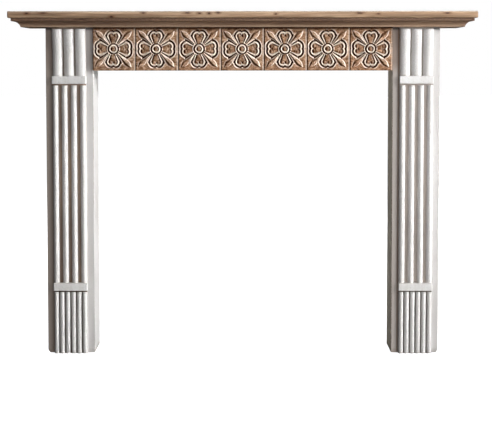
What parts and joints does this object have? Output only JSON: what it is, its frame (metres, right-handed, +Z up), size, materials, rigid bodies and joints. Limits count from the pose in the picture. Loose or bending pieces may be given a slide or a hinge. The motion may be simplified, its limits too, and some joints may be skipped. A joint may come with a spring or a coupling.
{
  "type": "fireplace mantelpiece",
  "caption": "Wooden fire surround with a moulded pine shelf, a frieze of carved flower tiles and white-painted jambs with reeded pilaster fronts.",
  "frame": {"origin": "on the floor, under the middle of the shelf's length and depth", "axes": "+X to the right along the shelf, +Y from the front to the wall, +Z up; the carved front faces -Y"},
  "size_m": [1.5, 0.25, 1.115],
  "materials": {
    "pine": "matt, reclaimed and lightly waxed",
    "carved_pine": "carved, dark in the recesses and sanded pale on the ridges",
    "white_paint": "distressed off-white paint on wood"
  },
  "bodies": {
    "root": {"shelf_board": "pine", "cornice_core": "pine", "cornice_mould_front": "pine", "cornice_mould_left": "pine", "cornice_mould_right": "pine", "frieze_board": "pine", "frieze_tile_1": "carved_pine", "frieze_tile_2": "carved_pine", "frieze_tile_3": "carved_pine", "frieze_tile_4": "carved_pine", "frieze_tile_5": "carved_pine", "frieze_tile_6": "carved_pine", "frieze_tile_7": "carved_pine", "left_jamb_front": "white_paint", "left_jamb_inner_side": "white_paint", "left_jamb_outer_side": "white_paint", "left_base": "white_paint", "left_lower_band": "white_paint", "left_shaft": "white_paint", "left_upper_band": "white_paint", "left_capital": "white_paint", "right_jamb_front": "white_paint", "right_jamb_inner_side": "white_paint", "right_jamb_outer_side": "white_paint", "right_base": "white_paint", "right_lower_band": "white_paint", "right_shaft": "white_paint", "right_upper_band": "white_paint", "right_capital": "white_paint"}
  },
  "joints": []
}
